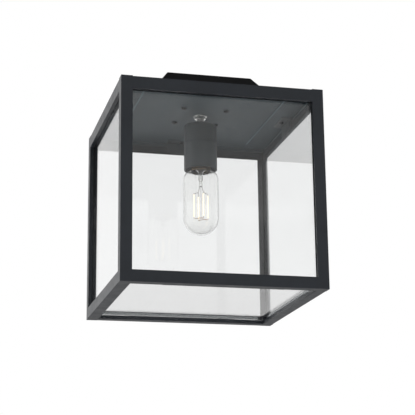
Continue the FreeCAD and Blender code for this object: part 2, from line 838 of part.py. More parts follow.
for label, way in (("lead_live", "-"), ("lead_neutral", "")):
    path = [
        (block_left, lead_level),
        ("lead_bend", lead_level, "lead_bend", f"{lead_level} - lead_bend"),
        ("0", f"{lead_level} - lead_bend"),
        ("0", core_top),
    ]
    lead(label, "XZ_Plane", path, f"{way}lead_spread",
         lambda wire: round_hole(new_sketch(wire, "YZ_Plane", block_left), f"{'' if way else '-'}lead_spread",
                                 lead_level, "lead_radius"))
earth_path = [
    ("block_length / 2", lead_level),
    ("earth_offset - lead_bend", lead_level, "earth_offset - lead_bend", f"{lead_level} - lead_bend"),
    ("earth_offset", f"{lead_level} - lead_bend"),
    ("earth_offset", f"{frame_top} + earth_tag_thickness"),
]
lead("lead_earth", "YZ_Plane", earth_path, "block_offset + earth_tag_length",
     lambda wire: round_hole(new_sketch(wire, "XZ_Plane", "-block_length / 2"), "block_offset + earth_tag_length",
                             lead_level, "lead_radius"))

# Earth terminal on the roof: stud, tag and nut.
stud_spot = ("block_offset", "earth_offset", roof_underside)
keep(solid("Cylinder", stud_spot, Radius="earth_stud_radius", Height="earth_stud_length"), "earth_stud")
tag_spot = ("block_offset", "earth_offset", frame_top)
eye = solid("Cylinder", tag_spot, Radius="earth_tag_radius", Height="earth_tag_thickness")
tail = solid("Box", ("block_offset", "earth_offset - lead_radius", frame_top),
             Length="earth_tag_length + lead_radius", Width="2 * lead_radius", Height="earth_tag_thickness")
drill = solid("Cylinder", tag_spot, Radius="earth_stud_radius + thread_clearance", Height="earth_tag_thickness")
keep(joined("Cut", joined("Fuse", eye, tail), drill), "earth_tag")
nut_spot = ("block_offset", "earth_offset", f"{frame_top} + earth_tag_thickness")
keep(hex_nut(nut_spot, "earth_nut_flats", "earth_stud_radius + thread_clearance", "earth_nut_height"), "earth_nut")

doc.recompute()
for thing in doc.Objects:
    if "Invalid" in thing.State or "Error" in thing.State:
        raise RuntimeError(f"{thing.Label} failed: {thing.State}")
os.makedirs("parts", exist_ok=True)
for piece in pieces:
    shape = piece.Shape
    if shape.isNull() or not shape.isValid() or shape.Volume <= 0:
        raise RuntimeError(f"{piece.Label} has no sound solid")
    shape.exportStep(f"parts/{piece.Label}.step")
    print(piece.Label, len(shape.Solids), round(shape.Volume, 1))
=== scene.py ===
import math
import bmesh
import bpy
from mathutils import Matrix, Vector


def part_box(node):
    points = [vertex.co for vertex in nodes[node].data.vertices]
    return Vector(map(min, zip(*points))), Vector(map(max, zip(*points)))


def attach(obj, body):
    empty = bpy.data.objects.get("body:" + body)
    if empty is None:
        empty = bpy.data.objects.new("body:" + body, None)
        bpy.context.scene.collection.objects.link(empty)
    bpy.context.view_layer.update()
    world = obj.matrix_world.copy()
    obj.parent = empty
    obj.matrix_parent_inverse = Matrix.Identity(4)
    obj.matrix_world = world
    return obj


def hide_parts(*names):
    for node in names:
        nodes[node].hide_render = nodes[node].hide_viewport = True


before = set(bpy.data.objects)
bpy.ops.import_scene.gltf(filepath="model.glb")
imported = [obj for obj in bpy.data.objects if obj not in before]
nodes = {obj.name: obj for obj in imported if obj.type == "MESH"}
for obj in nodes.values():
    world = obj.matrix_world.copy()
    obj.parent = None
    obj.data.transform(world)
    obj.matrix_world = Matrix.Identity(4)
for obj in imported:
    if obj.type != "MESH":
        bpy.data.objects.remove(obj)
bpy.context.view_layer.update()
mm = 0.001
print("stage: frame loaded,", len(nodes), "nodes")


# shader maths
class Field:  # a shader socket that can be added, scaled and compared like a number
    def __init__(self, paint, socket):
        self.paint, self.socket = paint, socket

    def maths(self, operation, *values):
        return self.paint.add("ShaderNodeMath", {"operation": operation}, dict(enumerate(values)))

    def __add__(self, other):
        return self.maths("ADD", self, other)

    def __radd__(self, other):
        return self.maths("ADD", other, self)

    def __sub__(self, other):
        return self.maths("SUBTRACT", self, other)

    def __rsub__(self, other):
        return self.maths("SUBTRACT", other, self)

    def __mul__(self, other):
        return self.maths("MULTIPLY", self, other)

    def __rmul__(self, other):
        return self.maths("MULTIPLY", other, self)

    def __pow__(self, other):
        return self.maths("POWER", self, other)

    def __gt__(self, other):
        return self.maths("GREATER_THAN", self, other)

    def __lt__(self, other):
        return self.maths("LESS_THAN", self, other)

    def __or__(self, other):
        return self.maths("MAXIMUM", self, other)


class Tree:  # a node tree with one way to add any node
    def __init__(self, owner):
        owner.use_nodes = True
        self.tree = owner.node_tree

    def add(self, kind, settings=None, values=None, out=0):
        node = self.tree.nodes.new(kind)
        for key, value in (settings or {}).items():
            if key == "stops":
                self.setStops(node.color_ramp.elements, value)
            else:
                setattr(node, key, value)
        for key, value in (values or {}).items():
            self.join(node.inputs[key], value)
        return Field(self, node.outputs[out])

    def setStops(self, stops, wanted):
        while len(stops) < len(wanted):
            stops.new(1.0)
        for stop, (position, colour) in zip(stops, wanted):
            stop.position, stop.color = position, (*colour, 1)

    def join(self, socket, value):
        if isinstance(value, Field):
            self.tree.links.new(value.socket, socket)
        elif socket.type == "RGBA" and len(value) == 3:
            socket.default_value = (*value, 1)
        else:
            socket.default_value = value

    def blend(self, factor, low, high):
        return self.add("ShaderNodeMix", {"data_type": "RGBA"}, {0: factor, 6: low, 7: high}, out=2)

    def spread(self, field, low, high, start=0.0, stop=1.0, smooth=False):  # start..stop becomes low..high
        settings = {"interpolation_type": "SMOOTHSTEP"} if smooth else {}
        return self.add("ShaderNodeMapRange", settings, {0: field, 1: start, 2: stop, 3: low, 4: high})


class Paint(Tree):  # a material with one Principled shader
    def __init__(self, name, **constants):
        self.material = bpy.data.materials.new(name)
        super().__init__(self.material)
        self.shader = self.tree.nodes["Principled BSDF"]
        self.place = self.add("ShaderNodeTexCoord", out="Object")
        self.feed(**constants)

    def feed(self, **fields):
        for key, value in fields.items():
            self.join(self.shader.inputs[key.replace("_", " ")], value)

    def noise(self, scale, detail=3, roughness=0.55, stretch=(1, 1, 1)):
        where = self.add("ShaderNodeVectorMath", {"operation": "MULTIPLY"}, {0: self.place, 1: stretch})
        values = {"Vector": where, "Scale": scale, "Detail": detail, "Roughness": roughness}
        return self.add("ShaderNodeTexNoise", {}, values)

    def along(self, axis):  # one coordinate of the object's own frame, in metres
        return self.add("ShaderNodeSeparateXYZ", {}, {0: self.place}, out="XYZ".index(axis))

    def relief(self, height, strength, distance):
        return self.add("ShaderNodeBump", {}, {"Strength": strength, "Distance": distance, "Height": height})


# finishes
colourWindow = (0.35, 0.65)  # the part of a noise's range that shows as colour
wearWindow = (0.3, 0.7)  # the part of a noise's range that shows as roughness
sheen = 0.05  # how far roughness strays from its middle
coatDepth, metalDepth, plainDepth = 0.00003, 0.00004, 0.00005  # metres that the fine grain stands out


def shadeOf(colour, amount):
    return tuple(part * amount for part in colour)


def powderCoat(name, look):  # look: colour, lift, roughness, grain, gloss
    paint = Paint(name, Specular_IOR_Level=look["gloss"])
    scales = {"broad": 9, "cloud": 85, "peel": 1100}
    broad = paint.noise(scales["broad"], 4)
    cloud = paint.noise(scales["cloud"], 3)
    peel = paint.noise(scales["peel"], 2, 0.5)
    paint.feed(
        Base_Color=paint.blend(
            paint.spread(broad * 0.6 + cloud * 0.4, 0, 1, *colourWindow),
            shadeOf(look["colour"], 1 - look["lift"]), shadeOf(look["colour"], 1 + look["lift"])),
        Roughness=paint.spread(cloud, look["roughness"] - sheen, look["roughness"] + sheen, *wearWindow),
        Normal=paint.relief(peel + cloud * 0.5, look["grain"], coatDepth),
    )
    return paint


framePaint = powderCoat("framePowderCoat", {
    "colour": (0.0205, 0.0245, 0.0310), "lift": 0.16, "roughness": 0.42, "grain": 0.3, "gloss": 0.5,
})
canopyPaint = powderCoat("canopyPowderCoat", {
    "colour": (0.010, 0.0102, 0.0108), "lift": 0.15, "roughness": 0.5, "grain": 0.3, "gloss": 0.3,
})
clipPaint = powderCoat("clipCoat", {
    "colour": (0.030, 0.037, 0.041), "lift": 0.12, "roughness": 0.42, "grain": 0.2, "gloss": 0.4,
})
holderPaint = powderCoat("holderMatt", {
    "colour": (0.0235, 0.0295, 0.0335), "lift": 0.12, "roughness": 0.55, "grain": 0.2, "gloss": 0.35,
})
screwPaint = powderCoat("screwBlack", {
    "colour": (0.008, 0.008, 0.009), "lift": 0.2, "roughness": 0.45, "grain": 0.2, "gloss": 0.25,
})


def roofCoat():
    look = {
        "colour": (0.039, 0.058, 0.068), "dark": 0.9, "light": 1.12,
        "roughness": 0.55, "gloss": 0.3, "grain": 0.25,
        "beadHighlightLift": 2.4, "beadPlace": 0.089, "beadCore": 0.0004, "beadWidth": 0.0016, "beadReach": 0.101,
        "broad": 7, "cloud": 70, "peel": 1100,
    }
    paint = Paint("roofPowderCoat", Specular_IOR_Level=look["gloss"])
    broad = paint.noise(look["broad"], 4)
    cloud = paint.noise(look["cloud"], 3)
    peel = paint.noise(look["peel"], 2, 0.5)
    side = paint.add("ShaderNodeMath", {"operation": "ABSOLUTE"}, {0: paint.along("X")})
    depth = paint.add("ShaderNodeMath", {"operation": "ABSOLUTE"}, {0: paint.along("Y")})
    # painted highlight: the coat turns to a pale line along each of the two beads
    offBead = paint.add("ShaderNodeMath", {"operation": "ABSOLUTE"}, {0: side - look["beadPlace"]})
    bead = paint.spread(offBead, 1, 0, look["beadCore"], look["beadWidth"], smooth=True)
    bead = bead * (depth < look["beadReach"])
    plain = paint.blend(
        paint.spread(broad * 0.6 + cloud * 0.4, 0, 1, *colourWindow),
        shadeOf(look["colour"], look["dark"]), shadeOf(look["colour"], look["light"]))
    paint.feed(
        Base_Color=paint.blend(bead, plain, shadeOf(look["colour"], look["beadHighlightLift"])),
        Roughness=paint.spread(cloud, look["roughness"] - sheen, look["roughness"] + sheen, *wearWindow),
        Normal=paint.relief(peel + cloud * 0.5, look["grain"], coatDepth),
    )
    return paint


roofPaint = roofCoat()


metalGrain = {"stainScale": 60, "stainWindow": (0.35, 0.7), "dulling": 0.14, "streakWindow": (0.5, 1.1)}


def metalFinish(name, look, grain=metalGrain):  # brushed is the noise's scale along each axis
    paint = Paint(name, Metallic=1.0)
    streaks = paint.noise(1, 3, 0.6, stretch=look["brushed"])
    stain = paint.noise(grain["stainScale"], 4)
    rough = look["roughness"]
    paint.feed(
        Base_Color=paint.blend(
            paint.spread(stain, 0, 1, *grain["stainWindow"]),
            look["colour"], shadeOf(look["colour"], look.get("stain", 0.75))),
        Roughness=paint.spread(
            streaks + stain * 0.5, rough, rough + grain["dulling"], *grain["streakWindow"]),
        Normal=paint.relief(streaks, look.get("relief", 0.12), metalDepth),
    )
    return paint


nickel = metalFinish("nickelPlate", {
    "colour": (0.74, 0.74, 0.72), "roughness": 0.14, "brushed": (60, 60, 900),
})
zinc = metalFinish("zincPlate", {"colour": (0.52, 0.53, 0.55), "roughness": 0.34, "brushed": (900, 60, 60)})
brass = metalFinish("spunBrass", {"colour": (0.80, 0.58, 0.30), "roughness": 0.22, "brushed": (30, 30, 2200)})
capBrass = metalFinish("capBrass", {
    "colour": (0.72, 0.50, 0.25), "roughness": 0.2, "brushed": (30, 30, 2400), "stain": 0.6,
})
solder = metalFinish("solderTin", {
    "colour": (0.62, 0.62, 0.60), "roughness": 0.4, "brushed": (300, 300, 300), "relief": 0.4,
})
leadInMetal = metalFinish("leadInWire", {
    "colour": (0.42, 0.38, 0.33), "roughness": 0.35, "brushed": (500, 500, 80),
})
linkMetal = metalFinish("linkCopper", {
    "colour": (0.62, 0.33, 0.17), "roughness": 0.4, "brushed": (500, 500, 80),
})


def plainFinish(name, look):  # look: colour, shade, roughness, mottle, relief
    paint = Paint(name)
    mottle = paint.noise(look["mottle"], 4)
    paint.feed(
        Base_Color=paint.blend(
            paint.spread(mottle, 0, 1, *colourWindow),
            look["colour"], shadeOf(look["colour"], look["shade"])),
        Roughness=paint.spread(mottle, look["roughness"] - sheen, look["roughness"] + 0.08, *wearWindow),
        Normal=paint.relief(paint.noise(look["mottle"] * 9, 2), look["relief"], plainDepth),
    )
    return paint


steatite = plainFinish("steatite", {
    "colour": (0.66, 0.63, 0.56), "shade": 0.88, "roughness": 0.55, "mottle": 160, "relief": 0.3,
})
blockNylon = plainFinish("blockNylon", {
    "colour": (0.72, 0.72, 0.68), "shade": 0.9, "roughness": 0.42, "mottle": 120, "relief": 0.2,
})
brownLead = plainFinish("brownInsulation", {
    "colour": (0.13, 0.055, 0.022), "shade": 0.8, "roughness": 0.4, "mottle": 300, "relief": 0.15,
})
blueLead = plainFinish("blueInsulation", {
    "colour": (0.02, 0.10, 0.36), "shade": 0.8, "roughness": 0.4, "mottle": 300, "relief": 0.15,
})
vitrite = plainFinish("blackGlassInsulator", {
    "colour": (0.012, 0.010, 0.012), "shade": 1.6, "roughness": 0.14, "mottle": 200, "relief": 0.05,
})


def earthInsulation():
    look = {
        "green": (0.07, 0.28, 0.05), "yellow": (0.72, 0.58, 0.04), "bands": 260, "ripple": 0.6, "grain": 2600,
    }
    paint = Paint("earthInsulation", Roughness=0.4)
    bands = paint.add(
        "ShaderNodeTexWave", {"bands_direction": "DIAGONAL"},
        {"Vector": paint.place, "Scale": look["bands"], "Distortion": look["ripple"]})
    paint.feed(
        Base_Color=paint.blend(paint.spread(bands, 0, 1, 0.45, 0.55), look["green"], look["yellow"]),
        Normal=paint.relief(paint.noise(look["grain"], 2), 0.15, plainDepth),
    )
    return paint


earthLead = earthInsulation()


def studFinish():  # bright above the roof, coated with the roof where its end shows below
    look = {"metal": (0.5, 0.5, 0.52), "coat": (0.039, 0.058, 0.068), "roofLevel": -0.0365}
    paint = Paint("earthStudSteel")
    above = paint.along("Z") > look["roofLevel"]
    scratches = paint.noise(400, 3)
    paint.feed(
        Base_Color=paint.blend(above, look["coat"], look["metal"]),
        Metallic=above,
        Roughness=paint.spread(scratches, 0.3, 0.5, *wearWindow),
        Normal=paint.relief(scratches, 0.2, metalDepth),
    )
    return paint


studSteel = studFinish()


glassDirt = {"haze": 35, "specks": 620, "hazeWindow": (0.45, 0.75), "speckWindow": (0.2, 0.6), "grey": 0.985}


def clearGlass(name, look, dirt=glassDirt):  # the edge colour is painted shade that darkens the glass where it turns away from view
    paint = Paint(name, Transmission_Weight=1.0, IOR=look["index"])
    haze = paint.noise(dirt["haze"], 5, 0.7)
    specks = paint.noise(dirt["specks"], 2, 0.4)
    smear = paint.spread(haze, 0, 1, *dirt["hazeWindow"])
    colour = paint.blend(smear, look["tint"], shadeOf(look["tint"], dirt["grey"]))
    if "edge" in look:
        # painted shade: towards its rims the glass takes the dark edge colour
        turned = paint.add("ShaderNodeLayerWeight", {}, {"Blend": 0.5}, out="Facing")
        colour = paint.blend(paint.spread(turned, 0, 1, look["edgeStart"], 1.0) ** 2, colour, look["edge"])
    paint.feed(
        Base_Color=colour,
        Roughness=paint.spread(specks * smear, 0, look["dust"], *dirt["speckWindow"]),
    )
    lamps = paint.add("ShaderNodeLightPath", out="Is Shadow Ray")
    through = paint.add("ShaderNodeBsdfTransparent", {}, {"Color": (0.93, 0.94, 0.94)})
    glass = Field(paint, paint.shader.outputs[0])
    both = paint.add("ShaderNodeMixShader", {}, {0: lamps, 1: glass, 2: through})
    paint.join(paint.tree.nodes["Material Output"].inputs["Surface"], both)
    return paint


paneGlass = clearGlass("paneGlass", {"tint": (0.945, 0.95, 0.95), "index": 1.5, "dust": 0.02})
loosePaneGlass = clearGlass("loosePaneGlass", {"tint": (0.995, 0.998, 0.998), "index": 1.5, "dust": 0.02})
bulbGlass = clearGlass("bulbGlass", {
    "tint": (0.985, 0.985, 0.98), "index": 1.47, "dust": 0.01, "edge": (0.30, 0.32, 0.33), "edgeStart": 0.55,
})
stemGlass = clearGlass("stemGlass", {
    "tint": (0.96, 0.965, 0.96), "index": 1.5, "dust": 0.02, "edge": (0.35, 0.36, 0.36), "edgeStart": 0.5,
})
groundEdge = plainFinish("groundGlassEdge", {
    "colour": (0.42, 0.48, 0.48), "shade": 0.8, "roughness": 0.45, "mottle": 400, "relief": 0.3,
})


def glowingPhosphor():
    glow = {
        "core": (1.0, 0.93, 0.76), "rim": (1.0, 0.62, 0.25), "strength": 1.15, "rimWindow": (0.55, 1.1),
        "pale": (0.80, 0.66, 0.40), "deep": (0.72, 0.55, 0.28), "beads": 900,
    }
    paint = Paint("glowingPhosphor", Roughness=0.5, Emission_Strength=glow["strength"])
    beads = paint.noise(glow["beads"], 3)
    turned = paint.add("ShaderNodeLayerWeight", {}, {"Blend": 0.5}, out="Facing")
    paint.feed(
        Base_Color=paint.blend(beads, glow["pale"], glow["deep"]),
        Emission_Color=paint.blend(
            paint.spread(turned + beads * 0.2, 0, 1, *glow["rimWindow"]), glow["core"], glow["rim"]),
        Normal=paint.relief(beads, 0.3, 0.0001),
    )
    return paint


phosphor = glowingPhosphor()
print("stage: finishes mixed")

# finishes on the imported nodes
dress = [
    (framePaint, ["corner_post_", "top_rail_", "bottom_rail_", "corner_bracket_"]),
    (roofPaint, ["roof_plate"]),
    (canopyPaint, ["canopy"]),
    (clipPaint, ["glass_clip_"]),
    (paneGlass, ["glass_front", "glass_right", "glass_back", "glass_left"]),
    (loosePaneGlass, ["glass_bottom"]),
    (screwPaint, ["clip_screws", "roof_screws"]),
    (zinc, ["ceiling_bracket"]),
    (nickel, ["nipple", "earth_nut"]),
    (studSteel, ["earth_stud"]),
    (brass, ["earth_tag", "lampholder_shell", "lampholder_contact"]),
    (brass, ["lampholder_terminals", "terminal_screws"]),
    (holderPaint, ["lampholder_cap", "lampholder_skirt"]),
    (steatite, ["lampholder_core"]),
    (blockNylon, ["terminal_block"]),
    (brownLead, ["lead_live"]),
    (blueLead, ["lead_neutral"]),
    (earthLead, ["lead_earth"]),
    (solder, ["bulb_button"]),
    (vitrite, ["bulb_insulator"]),
    (capBrass, ["bulb_cap"]),
    (bulbGlass, ["bulb_glass"]),
    (stemGlass, ["bulb_stem"]),
    (phosphor, ["bulb_filaments"]),
    (leadInMetal, ["bulb_wires"]),
]
for paint, starts in dress:
    for name in nodes:
        if name.startswith(tuple(starts)):
            nodes[name].data.materials.clear()
            nodes[name].data.materials.append(paint.material)
print("stage: nodes dressed")


# mesh helpers, all in millimetres
def circle(radius, level, around=64, centre=(0, 0)):  # radius: a number or a function of the angle
    loop = []
    for step in range(around):
        angle = 2 * math.pi * step / around
        reach = radius(angle) if callable(radius) else radius
        loop.append((centre[0] + reach * math.cos(angle), centre[1] + reach * math.sin(angle), level))
    return loop


def skin(loops, closed=False):  # loops of one length become a surface; closed joins the last to the first
    count = len(loops[0])
    rows = list(range(len(loops))) + ([0] if closed else [])
    faces = [
        (a * count + i, a * count + (i + 1) % count, b * count + (i + 1) % count, b * count + i)
        for a, b in zip(rows, rows[1:]) for i in range(count)]
    return [point for loop in loops for point in loop], faces


def lidded(loops):  # a surface with a flat end at its first and last loop
    points, faces = skin(loops)
    count, last = len(loops[0]), len(points) - len(loops[0])
    return points, faces + [tuple(range(count))[::-1], tuple(range(last, last + count))]


def lathe(profile, around=64, closed=True, centre=(0, 0)):
    return skin([circle(radius, level, around, centre) for radius, level in profile], closed)


def arc(middle, radius, start, stop, steps):  # (radius, level) points of a round stretch of a profile
    return [
        (middle[0] + radius * math.cos(math.radians(start + (stop - start) * step / steps)),
         middle[1] + radius * math.sin(math.radians(start + (stop - start) * step / steps)))
        for step in range(steps + 1)]


def wire(path, radius, sides=10):  # a round rod along a list of points
    spots = [Vector(point) for point in path]
    ways = [(after - before).normalized() for before, after in zip(spots, spots[1:])]
    ways = [ways[0]] + [(a + b).normalized() for a, b in zip(ways, ways[1:])] + [ways[-1]]
    across = ways[0].orthogonal().normalized()
    loops = []
    for spot, way in zip(spots, ways):
        across = (across - way * across.dot(way)).normalized()
        beside = way.cross(across)
        turns = [2 * math.pi * step / sides for step in range(sides)]
        loops.append([tuple(spot + radius * (across * math.cos(a) + beside * math.sin(a))) for a in turns])
    return lidded(loops)


def block(low, high, bevel):  # a box with its edges cut back on every side
    def loop(inset, level):
        x0, y0, x1, y1 = low[0] + inset, low[1] + inset, high[0] - inset, high[1] - inset
        return [
            (x0 + bevel, y0, level), (x1 - bevel, y0, level),
            (x1, y0 + bevel, level), (x1, y1 - bevel, level),
            (x1 - bevel, y1, level), (x0 + bevel, y1, level),
            (x0, y1 - bevel, level), (x0, y0 + bevel, level)]
    return lidded([
        loop(bevel, low[2]), loop(0, low[2] + bevel), loop(0, high[2] - bevel), loop(bevel, high[2])])


def joined(*shapes):
    points, faces = [], []
    for somePoints, someFaces in shapes:
        faces += [tuple(index + len(points) for index in face) for face in someFaces]
        points += somePoints
    return points, faces


def moved(shape, way):
    return [tuple(Vector(point) + Vector(way)) for point in shape[0]], shape[1]


sharpAngle = 32  # degrees from which an edge stays sharp


def newPiece(name, shape, paint, body, replaced=()):
    mesh = bpy.data.meshes.new(name)
    mesh.from_pydata([tuple(part * mm for part in point) for point in shape[0]], [], shape[1])
    outward = bmesh.new()
    outward.from_mesh(mesh)
    bmesh.ops.recalc_face_normals(outward, faces=outward.faces)
    outward.to_mesh(mesh)
    outward.free()
    mesh.materials.append(paint.material)
    mesh.shade_smooth()
    mesh.set_sharp_from_angle(angle=math.radians(sharpAngle))
    piece = bpy.data.objects.new(name, mesh)
    bpy.context.collection.objects.link(piece)
    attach(piece, body)
    if replaced:
        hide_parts(*replaced)


def boxOf(name):  # a node's lowest and highest corner in millimetres
    low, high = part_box(name)
    return low / mm, high / mm


def threadWave(level, angle, pitch):  # 1 on the crest and 0 in the root of a right-hand thread
    return 0.5 + 0.5 * math.cos(2 * math.pi * level / pitch - angle)


def levels(top, bottom, step):
    count = max(1, round((top - bottom) / step))
    return [top + (bottom - top) * spot / count for spot in range(count + 1)]


# the bulb
bulbCap = {
    "pitch": 3.629, "depth": 0.9, "wall": 0.35, "crown": 2.6, "eye": 8.5, "collar": 3.4, "runOut": 1.2,
    "rowStep": 0.28, "around": 90, "crownArc": (80, 10, 6),
}


def makeBulbCap(size):
    low, high = boxOf("bulb_cap")
    crest, top, bottom = high.x, high.z, low.z

    def ribbed(level, inset):
        start, stop = top - size["crown"], bottom + size["collar"]
        fade = max(0, min(1, (start - level) / size["runOut"], (level - stop) / size["runOut"]))
        depth, pitch = size["depth"] * fade, size["pitch"]
        return lambda angle: crest - inset - depth * (1 - threadWave(level, angle, pitch))

    around = size["around"]
    rows = levels(top - size["crown"], bottom, size["rowStep"])
    crown = [(size["eye"], top)]
    crown += arc((crest - size["crown"], top - size["crown"]), size["crown"], *size["crownArc"])
    outside = [circle(radius, level, around) for radius, level in crown]
    outside += [circle(ribbed(z, 0), z, around) for z in rows]
    inside = [circle(ribbed(z, size["wall"]), z, around) for z in reversed(rows)]
    inside.append(circle(size["eye"], top - size["wall"], around))
    newPiece("threadedCap", skin(outside + inside, True), capBrass, "bulb", ["bulb_cap"])


makeBulbCap(bulbCap)

bulbEnvelope = {
    "wall": 0.9, "tipWall": 2.0, "neck": 12.5, "shoulder": 10, "shoulderSteps": 14, "capRim": 5,
    "sideStep": 4, "domeEnd": -88, "domeSteps": 24, "leastReach": 0.3, "around": 96,
}


def makeBulbGlass(size):
    low, high = boxOf("bulb_glass")
    radius, tip, top = high.x, low.z, high.z
    rim = top - size["capRim"]
    outer = [(size["neck"], top), (size["neck"], rim)]
    outer += arc((size["neck"], rim - size["shoulder"]), size["shoulder"], 90, 0, size["shoulderSteps"])[1:]
    outer += [(radius, level) for level in levels(rim - size["shoulder"], tip + radius, size["sideStep"])[1:]]
    outer += arc((0, tip + radius), radius, 0, size["domeEnd"], size["domeSteps"])[1:]
    inner = []
    for reach, level in outer:
        sunk = max(0, (tip + radius - level) / radius)  # 0 above the dome, 1 at its tip
        wall = size["wall"] + (size["tipWall"] - size["wall"]) * sunk ** 3
        lift = wall * math.sin(sunk * math.pi / 2)
        inner.append((max(size["leastReach"], reach - wall * math.cos(sunk * math.pi / 2)), level + lift))
    inner[1] = (size["neck"] - size["wall"], rim - size["wall"])
    count = size["around"]
    loops = [circle(reach, level, count) for reach, level in outer + inner[::-1]]
    points, faces = skin(loops, True)
    last = (len(outer) - 1) * count
    faces = [face for face in faces if not (min(face) >= last and max(face) < last + 2 * count)]
    faces += [tuple(range(last, last + count)), tuple(range(last + count, last + 2 * count))[::-1]]
    newPiece("bulbEnvelope", (points, faces), bulbGlass, "bulb", ["bulb_glass"])


makeBulbGlass(bulbEnvelope)

bulbStem = {
    "wall": 0.8, "neck": 3.0, "rim": 1.2, "funnel": 6.5, "curl": 2.4,
    "funnelRows": (0.15, 0.3, 0.45, 0.6, 0.8, 1.0),
    "press": 15.5, "pressReach": 1.5, "pressHigh": 3, "bead": 2.1, "beadArc": (40, -80, 8),
    "bore": 0.5, "hollowRows": 9, "around": 48,
}


def makeStem(size):
    low, high = boxOf("bulb_stem")
    flare, top, end = high.x, high.z, low.z
    neck, hollow, around = size["neck"], size["hollowRows"], size["around"]
    outer = [(flare, top), (flare, top - size["rim"])]
    outer += [
        (neck + (flare - neck) * (1 - part) ** size["curl"], top - size["rim"] - size["funnel"] * part)
        for part in size["funnelRows"]]
    outer += [(neck, top - size["press"]), (size["pressReach"], top - size["press"] - size["pressHigh"])]
    outer += arc((0, end + size["bead"]), size["bead"], *size["beadArc"])
    inner = [(max(size["bore"], reach - size["wall"]), level) for reach, level in outer[:hollow]]
    tube = lathe(outer[:hollow + 1] + inner[::-1], around)
    solid = lidded([circle(reach, level, around) for reach, level in outer[hollow:]])
    newPiece("stemTube", joined(tube, solid), stemGlass, "bulb", ["bulb_stem"])


makeStem(bulbStem)

filamentSet = {
    "circle": 9.3, "turn": 6, "stick": 0.72, "taper": 0.5, "shoulder": 0.5, "stickSides": 16, "tab": 1.6,
    "tabWire": 0.3, "linkWire": 0.28, "leadWire": 0.3, "mastWire": 0.16, "wireSides": 8,
    "pressSide": 1.6, "pressTop": 14, "pressFoot": 2, "splay": 1.3, "splayDrop": 1.5,
    "forkReach": 0.55, "forkRise": 2.2,
    "branchRise": 0.6, "branchSink": 0.2, "linkReach": 0.93, "bendReach": 0.72, "bendRise": 0.9,
    "mastTop": 1, "mastSway": 0.4, "mastFoot": 1.4, "armReach": (0.5, 0.96), "armRise": 0.2,
}


def makeFilaments(size):
    low, high = boxOf("bulb_filaments")
    stemEnd, cageLow = boxOf("bulb_stem")[0].z, boxOf("bulb_wires")[0].z
    turns = [math.radians(size["turn"] + 90 * quarter) for quarter in range(4)]
    spots = [(size["circle"] * math.cos(turn), size["circle"] * math.sin(turn)) for turn in turns]
    thick, thin, leadWire = size["stick"], size["stick"] * size["taper"], size["leadWire"]
    top, foot = high.z - size["tab"], low.z + size["tab"]
    outline = [(thin, top), (thick, top - size["shoulder"]), (thick, foot + size["shoulder"]), (thin, foot)]
    sticks, tabs, links, leads = [], [], [], []
    for x, y in spots:
        sticks.append(lidded([circle(reach, level, size["stickSides"], (x, y)) for reach, level in outline]))
        for start, stop in ((high.z, top), (foot, low.z)):
            tabs.append(wire([(x, y, start), (x, y, stop)], size["tabWire"], size["wireSides"]))
    for first, second in ((0, 3), (1, 2)):  # each lead-in wire feeds the tops of two sticks
        middle = [(spots[first][part] + spots[second][part]) / 2 for part in (0, 1)]
        side = Vector((*middle, 0)).normalized() * size["pressSide"]
        fork = Vector((*(part * size["forkReach"] for part in middle), high.z + size["forkRise"]))
        leads.append(wire([
            (side.x, side.y, stemEnd + size["pressTop"]),
            (side.x, side.y, stemEnd + size["pressFoot"]),
            (side.x * size["splay"], side.y * size["splay"], stemEnd - size["splayDrop"]),
            tuple(fork)], leadWire))
        for spot in (spots[first], spots[second]):
            leads.append(wire([
                tuple(fork),
                ((fork.x + spot[0]) / 2, (fork.y + spot[1]) / 2, high.z + size["branchRise"]),
                (*spot, high.z - size["branchSink"])], leadWire))
    ringLevel = (cageLow + low.z) / 2
    for first, second in ((0, 1), (2, 3)):  # the feet are joined in pairs by a bent link
        a, b = Vector((*spots[first], low.z)), Vector((*spots[second], low.z))
        bend = (a + b) / 2 * size["bendReach"]
        links.append(wire([
            tuple(a), (a.x * size["linkReach"], a.y * size["linkReach"], ringLevel),
            (bend.x, bend.y, ringLevel + size["bendRise"]),
            (b.x * size["linkReach"], b.y * size["linkReach"], ringLevel), tuple(b)], size["linkWire"]))
    hub = (0, 0, low.z + size["mastFoot"])
    mast = [(0, 0, stemEnd + size["mastTop"]), (size["mastSway"], 0, (stemEnd + low.z) / 2), hub]
    leads.append(wire(mast, size["mastWire"], size["wireSides"]))
    near, far = size["armReach"]
    for x, y in spots:  # the mast's four arms hold the feet apart
        elbow = (x * near, y * near, low.z + size["armRise"])
        hand = (x * far, y * far, low.z - size["armRise"])
        links.append(wire([hub, elbow, hand], size["mastWire"], size["wireSides"]))
    newPiece("filamentSticks", joined(*sticks), phosphor, "bulb", ["bulb_filaments"])
    newPiece("filamentTabs", joined(*tabs), leadInMetal, "bulb")
    newPiece("leadInWires", joined(*leads), leadInMetal, "bulb", ["bulb_wires"])
    newPiece("footLinks", joined(*links), linkMetal, "bulb")


makeFilaments(filamentSet)
print("stage: bulb made")

# the lampholder and its threaded tube
holderShell = {"pitch": 3.629, "depth": 0.3, "wall": 0.25, "runOut": 1.0, "rowStep": 0.35, "around": 80}


def makeHolderShell(size):
    low, high = boxOf("lampholder_shell")
    outer = high.x

    def ribbed(level, inset):
        fade = max(0, min(1, (high.z - level) / size["runOut"], (level - low.z) / size["runOut"]))
        depth, pitch = size["depth"] * fade, size["pitch"]
        return lambda angle: outer - inset - depth * (1 - threadWave(level, angle, pitch))

    rows, around = levels(high.z, low.z, size["rowStep"]), size["around"]
    loops = [circle(ribbed(z, 0), z, around) for z in rows]
    loops += [circle(ribbed(z, size["wall"]), z, around) for z in reversed(rows)]
    newPiece("threadedShell", skin(loops, True), brass, "lantern", ["lampholder_shell"])


makeHolderShell(holderShell)

threadedTube = {"pitch": 1.0, "depth": 0.45, "bore": 3.5, "rowStep": 0.25, "around": 40}


